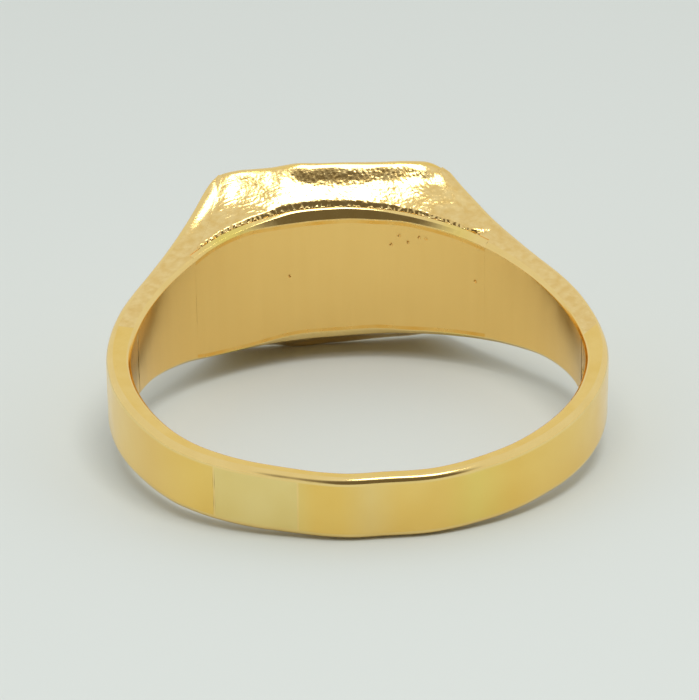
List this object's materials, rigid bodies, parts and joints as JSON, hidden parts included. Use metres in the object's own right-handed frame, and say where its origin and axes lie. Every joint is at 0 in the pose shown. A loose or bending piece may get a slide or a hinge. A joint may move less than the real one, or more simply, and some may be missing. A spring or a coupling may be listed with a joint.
{
  "type": "signet ring",
  "caption": "Yellow gold signet ring with a plain flat cushion-shaped table, flared hollow head, closed back and a slim tapering shank.",
  "frame": {"origin": "centre of the finger hole, half-way across the band's width", "axes": "+Z along the finger hole, so the ring lies on its side; +Y from the finger towards the signet table; +X to the ring's right"},
  "size_m": [0.0214, 0.0224, 0.0088],
  "materials": {
    "gold_table": "polished flat face with fine wear scratches",
    "gold_polished": "hand polished, softly wavy, fine wear scratches",
    "gold_filed": "rough filed and granular, polished only by wear",
    "gold_satin": "satin from buffing across the band, small pits",
    "gold_pale": "hand polished, slightly paler alloy",
    "solder": "solder flooded flush, slightly darker and grainy"
  },
  "bodies": {
    "root": {"table_plate": "gold_table", "left_shoulder": "gold_polished", "right_shoulder": "gold_polished", "left_shank": "gold_polished", "right_shank": "gold_polished", "upper_side_plate": "gold_filed", "lower_side_plate": "gold_filed", "back_plate": "gold_satin", "sizing_piece": "gold_pale", "upper_back_seam": "solder", "lower_back_seam": "solder", "left_shank_seam": "solder", "right_shank_seam": "solder", "left_sizing_seam": "solder", "right_sizing_seam": "solder"}
  },
  "joints": []
}
